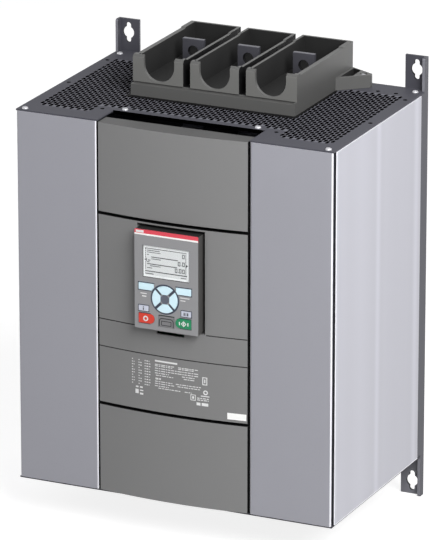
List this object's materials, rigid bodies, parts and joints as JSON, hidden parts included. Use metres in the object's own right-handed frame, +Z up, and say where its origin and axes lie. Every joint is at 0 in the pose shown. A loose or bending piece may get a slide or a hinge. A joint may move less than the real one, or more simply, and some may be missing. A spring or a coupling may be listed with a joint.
{
  "type": "soft starter",
  "caption": "Wall-mounted motor soft starter in a sheet-metal case with a shrouded line terminal block on top, a perforated top plate and a detachable keypad.",
  "frame": {"origin": "centre of the four wall slots, in the plane of the wall", "axes": "+X to the right seen from the front, +Y into the wall, +Z up"},
  "size_m": [0.361, 0.2614, 0.4938],
  "materials": {
    "dark_paint": "satin powder coat",
    "light_paint": "satin powder coat",
    "cover_plastic": "fine grain",
    "tinned_bar": "tinned copper bar",
    "alloy": "extruded",
    "black_plastic": "moulded",
    "board": "solder mask",
    "terminal_green": "moulded",
    "screw_steel": "zinc plated",
    "keypad_face": "fine grain",
    "keypad_red": "printed strip",
    "window": "clear",
    "display": "pale display",
    "flap_grey": "fine grain",
    "key_blue": "moulded",
    "key_grey": "moulded",
    "key_red": "moulded",
    "key_green": "moulded"
  },
  "bodies": {
    "starter": {"chassis": "dark_paint", "mounting_rail_left": "dark_paint", "mounting_rail_right": "dark_paint", "front_frame": "dark_paint", "side_panel_left": "light_paint", "side_panel_right": "light_paint", "front_panel_left": "light_paint", "front_panel_right": "light_paint", "top_grille": "dark_paint", "bottom_plate": "dark_paint", "upper_cover": "cover_plastic", "keypad_cover": "cover_plastic", "lower_cover": "cover_plastic", "terminal_shroud": "cover_plastic", "line_bar_1": "tinned_bar", "line_bar_2": "tinned_bar", "line_bar_3": "tinned_bar", "load_bar_1": "tinned_bar", "load_bar_2": "tinned_bar", "load_bar_3": "tinned_bar", "heat_sink_1": "alloy", "heat_sink_2": "alloy", "heat_sink_3": "alloy", "thyristor_module_1": "black_plastic", "thyristor_module_2": "black_plastic", "thyristor_module_3": "black_plastic", "bypass_contactor_1": "black_plastic", "bypass_contactor_2": "black_plastic", "bypass_contactor_3": "black_plastic", "current_transformer_1": "black_plastic", "current_transformer_2": "black_plastic", "current_transformer_3": "black_plastic", "control_board": "board", "board_spacers": "screw_steel", "control_terminals": "terminal_green", "fan_frame_left": "black_plastic", "fan_frame_right": "black_plastic", "top_screws": "screw_steel", "shroud_screws": "screw_steel"},
    "keypad": {"keypad_back": "black_plastic", "keypad_front": "keypad_face", "keypad_band": "keypad_red", "display_window": "window", "display_panel": "display", "keypad_board": "board", "usb_socket": "screw_steel"},
    "soft_key_left": {"soft_key_left": "key_blue"},
    "soft_key_right": {"soft_key_right": "key_blue"},
    "key_up": {"key_up": "key_blue"},
    "key_down": {"key_down": "key_blue"},
    "key_left": {"key_left": "key_blue"},
    "key_right": {"key_right": "key_blue"},
    "key_info": {"key_info": "key_grey"},
    "key_local": {"key_local": "key_grey"},
    "key_stop": {"key_stop": "key_red"},
    "key_start": {"key_start": "key_green"},
    "usb_flap": {"usb_flap": "flap_grey"},
    "fan_rotor_left": {"fan_rotor_left": "black_plastic"},
    "fan_rotor_right": {"fan_rotor_right": "black_plastic"}
  },
  "joints": [
    {"name": "keypad_pull", "type": "slide", "parent": "starter", "child": "keypad", "axis": [0, -1, 0], "range_m": [0, 0.03]},
    {"name": "soft_key_left_press", "type": "slide", "parent": "keypad", "child": "soft_key_left", "axis": [0, 1, 0], "range_m": [0, 0.0008], "stiffness_N_per_m": 2500},
    {"name": "soft_key_right_press", "type": "slide", "parent": "keypad", "child": "soft_key_right", "axis": [0, 1, 0], "range_m": [0, 0.0008], "stiffness_N_per_m": 2500},
    {"name": "key_up_press", "type": "slide", "parent": "keypad", "child": "key_up", "axis": [0, 1, 0], "range_m": [0, 0.0008], "stiffness_N_per_m": 2500},
    {"name": "key_down_press", "type": "slide", "parent": "keypad", "child": "key_down", "axis": [0, 1, 0], "range_m": [0, 0.0008], "stiffness_N_per_m": 2500},
    {"name": "key_left_press", "type": "slide", "parent": "keypad", "child": "key_left", "axis": [0, 1, 0], "range_m": [0, 0.0008], "stiffness_N_per_m": 2500},
    {"name": "key_right_press", "type": "slide", "parent": "keypad", "child": "key_right", "axis": [0, 1, 0], "range_m": [0, 0.0008], "stiffness_N_per_m": 2500},
    {"name": "key_info_press", "type": "slide", "parent": "keypad", "child": "key_info", "axis": [0, 1, 0], "range_m": [0, 0.0008], "stiffness_N_per_m": 2500},
    {"name": "key_local_press", "type": "slide", "parent": "keypad", "child": "key_local", "axis": [0, 1, 0], "range_m": [0, 0.0008], "stiffness_N_per_m": 2500},
    {"name": "key_stop_press", "type": "slide", "parent": "keypad", "child": "key_stop", "axis": [0, 1, 0], "range_m": [0, 0.0008], "stiffness_N_per_m": 2500},
    {"name": "key_start_press", "type": "slide", "parent": "keypad", "child": "key_start", "axis": [0, 1, 0], "range_m": [0, 0.0008], "stiffness_N_per_m": 2500},
    {"name": "usb_flap_hinge", "type": "hinge", "parent": "keypad", "child": "usb_flap", "pos_m": [0, -0.2592, 0.0107], "axis": [-1, 0, 0], "range_deg": [0, 100]},
    {"name": "fan_left_spin", "type": "hinge", "parent": "starter", "child": "fan_rotor_left", "pos_m": [-0.046, -0.0503, -0.185], "axis": [0, 0, 1], "continuous": true},
    {"name": "fan_right_spin", "type": "hinge", "parent": "starter", "child": "fan_rotor_right", "pos_m": [0.046, -0.0503, -0.185], "axis": [0, 0, 1], "continuous": true}
  ]
}
